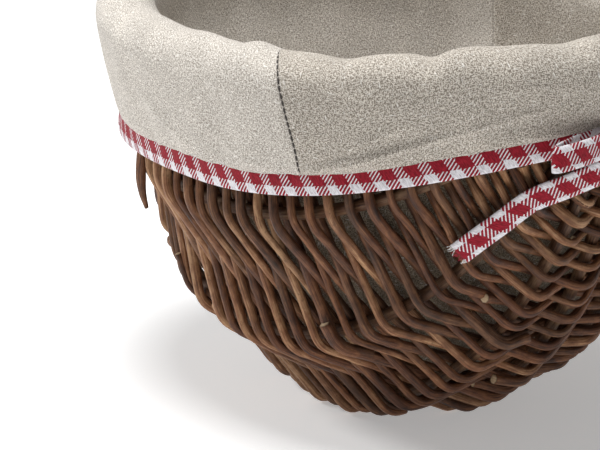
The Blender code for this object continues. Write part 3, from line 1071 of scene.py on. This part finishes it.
def cap_ends(piece, rows, columns):
    """Closes the two open ends of a tube-like sheet."""
    mesh = bmesh.new()
    mesh.from_mesh(piece.data)
    mesh.verts.ensure_lookup_table()
    mesh.faces.new([mesh.verts[j] for j in range(columns)])
    mesh.faces.new([mesh.verts[(rows - 1) * columns + j] for j in reversed(range(columns))])
    bmesh.ops.recalc_face_normals(mesh, faces=mesh.faces)
    mesh.to_mesh(piece.data)
    mesh.free()


def ribbon(name, path, facing, material, shift, ease=0):
    """A flat ribbon along the path, its flat side turned to each point's facing.

    ease is how often the line is smoothed."""
    line, face = smooth_line(path, RIBBON_ROWS), smooth_line(facing, RIBBON_ROWS)
    for _ in range(ease):
        line[1:-1] = (line[:-2] + 2 * line[1:-1] + line[2:]) / 4
    ahead = np.gradient(line, axis=0)
    across = unit(np.cross(face, ahead))
    normal = unit(np.cross(ahead, across))
    t = np.linspace(-1, 1, RIBBON_COLUMNS)
    high = t * BAND_WIDTH / 2
    cup = 0.35 * MM * (1 - t ** 2)
    grid = line[:, None] + across[:, None] * high[:, None] + normal[:, None] * cup[:, None]
    along = distances(line)[:, None] + 0 * high
    place = np.stack([along + shift + GINGHAM_SKEW * high, high + CHECK / 2 + 0 * along, 0 * along], -1)
    piece = add_sheet(name, grid, place, RIBBON_THICKNESS, material)
    return piece, grid


def add_fray(name, grid, threads):
    """Loose thread ends along the cut end of a tail, red where the cloth's stripe is red."""
    edge, before = grid[-1], grid[-4]
    across = unit(edge[-1] - edge[0])
    columns = np.arange(len(edge))
    for colour, material in threads.items():
        paths = []
        for share in np.linspace(0.02, 0.98, FRAY_THREADS):
            in_red_stripe = 0.28 < share < 0.78
            if in_red_stripe != (colour == "red"):
                continue
            column = share * (len(edge) - 1)
            start = sample(column, columns, edge)
            ahead = unit(start - sample(column, columns, before))
            reach = rng.uniform(0.8, 2.6) * MM
            bend = rng.uniform(-0.5, 0.5) * reach * across
            paths.append([start + ahead * reach * t + bend * t * t for t in (-0.5, 0, 0.5, 1)])
        add_rods_as_one(f"{name}_{colour}", paths, FRAY_RADIUS, 5, material)


def build_loop(word, side, material):
    turn = np.radians(np.linspace(8, 352, 17))
    share = (1 - np.cos(turn)) / 2
    x = LOOP_HALF_WIDTH * np.sin(turn) + 1 * MM
    y = side * (LOOP_START + LOOP_REACH * share)
    loop = KNOT_CENTRE + np.stack([x, y, 1 * MM - LOOP_DROP * share], 1)
    facing = np.stack([np.sin(turn), -side * np.cos(turn), 0 * turn], 1)
    piece, _ = ribbon(f"bow_loop_{word}_gingham", loop, facing, material, 0.1)
    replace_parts(piece, f"bow_loop_{word}")


def build_tail(word, side, material, threads):
    """A tail that hangs from the knot and then lies along the weave."""
    start = KNOT_CENTRE + np.array([TAIL_START[0], side * TAIL_START[1], TAIL_START[2]]) * MM
    ends = np.array([hull(np.array(u), math.radians(angle), TAIL_OUT) for u, angle in TAIL_PLACES])
    ends[:, 1] *= -side
    middle = [start + (ends[0] - start) * share + [1.2 * MM, 0, 0] for share in (0.35, 0.7)]
    path = np.vstack([start, middle, ends])
    facing = np.array([[1, side * (0.15 + 0.1 * k), -(0.1 + 0.03 * k)] for k in range(len(path))])
    piece, grid = ribbon(f"bow_tail_{word}_gingham", path, facing, material, 0.2, ease=50)
    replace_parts(piece, f"bow_tail_{word}")
    add_fray(f"tail_fray_{word}", grid, threads)


def build_knot(material):
    turn, rise = np.meshgrid(np.linspace(0, 2 * np.pi, 40, endpoint=False), np.linspace(-1, 1, 22))
    swell = np.sqrt(np.clip(1 - np.abs(rise) ** 2.6, 0.02, 1))
    crease = 1 + 0.06 * np.sin(3 * turn + 2 * rise) * swell
    x = KNOT_RADII[0] * swell * np.cos(turn) * crease
    z = KNOT_RADII[1] * swell * np.sin(turn) * crease
    grid = KNOT_CENTRE + np.stack([x, KNOT_HALF_LENGTH * rise, z], -1)
    place = np.stack([turn * 5 * MM, KNOT_HALF_LENGTH * rise, 0 * turn], -1)
    knot = add_sheet("bow_knot_gingham", grid, place, 0, material, closed=True)
    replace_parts(knot, "bow_knot")
    cap_ends(knot, *turn.shape)


def build_bow(material, threads):
    for word, side in (("front", -1), ("back", 1)):
        build_loop(word, side, material)
        build_tail(word, side, material, threads)
    build_knot(material)


# ---- the object

make_camera()
make_studio()
# The frame's bark is dimmed to 0.4 as painted shade, for the ribs and hoop that lie in the weavers' shadow.
frame_bark_painted_shade = willow_material("frame_bark_painted_shade", 0.4)
weaver_bark = willow_material("weaver_bark", 0.9)
linen = linen_material("linen_cloth", (0.96, 0.955, 0.94), 0.8)
# Darker, coarser-grained linen for the right panel and the base: partly a different panel of cloth, partly
# painted shade.
shaded_linen = linen_material("linen_coarse_with_painted_shade", (0.80, 0.777, 0.735), 1.3)
# The liner's side that faces the willow is darker and browner: painted shade for the linen seen in shadow
# through the weave's gaps.
painted_shade_linen = linen_material("linen_reverse_painted_shade", (0.52, 0.44, 0.35), 1.3)
gingham = gingham_material("gingham_cloth")
dark_thread = thread_material("dark_thread", (0.055, 0.045, 0.038))
white_thread = thread_material("white_thread", (0.80, 0.78, 0.76))
red_thread = thread_material("red_thread", (0.36, 0.010, 0.026))
build_frame(frame_bark_painted_shade)
build_weavers(weaver_bark)
add_loose_end(weaver_bark)
dress_ear_pads(weaver_bark)
build_liner(linen, shaded_linen, painted_shade_linen, dark_thread)
build_binding(gingham, white_thread)
build_bow(gingham, {"red": red_thread, "white": white_thread})
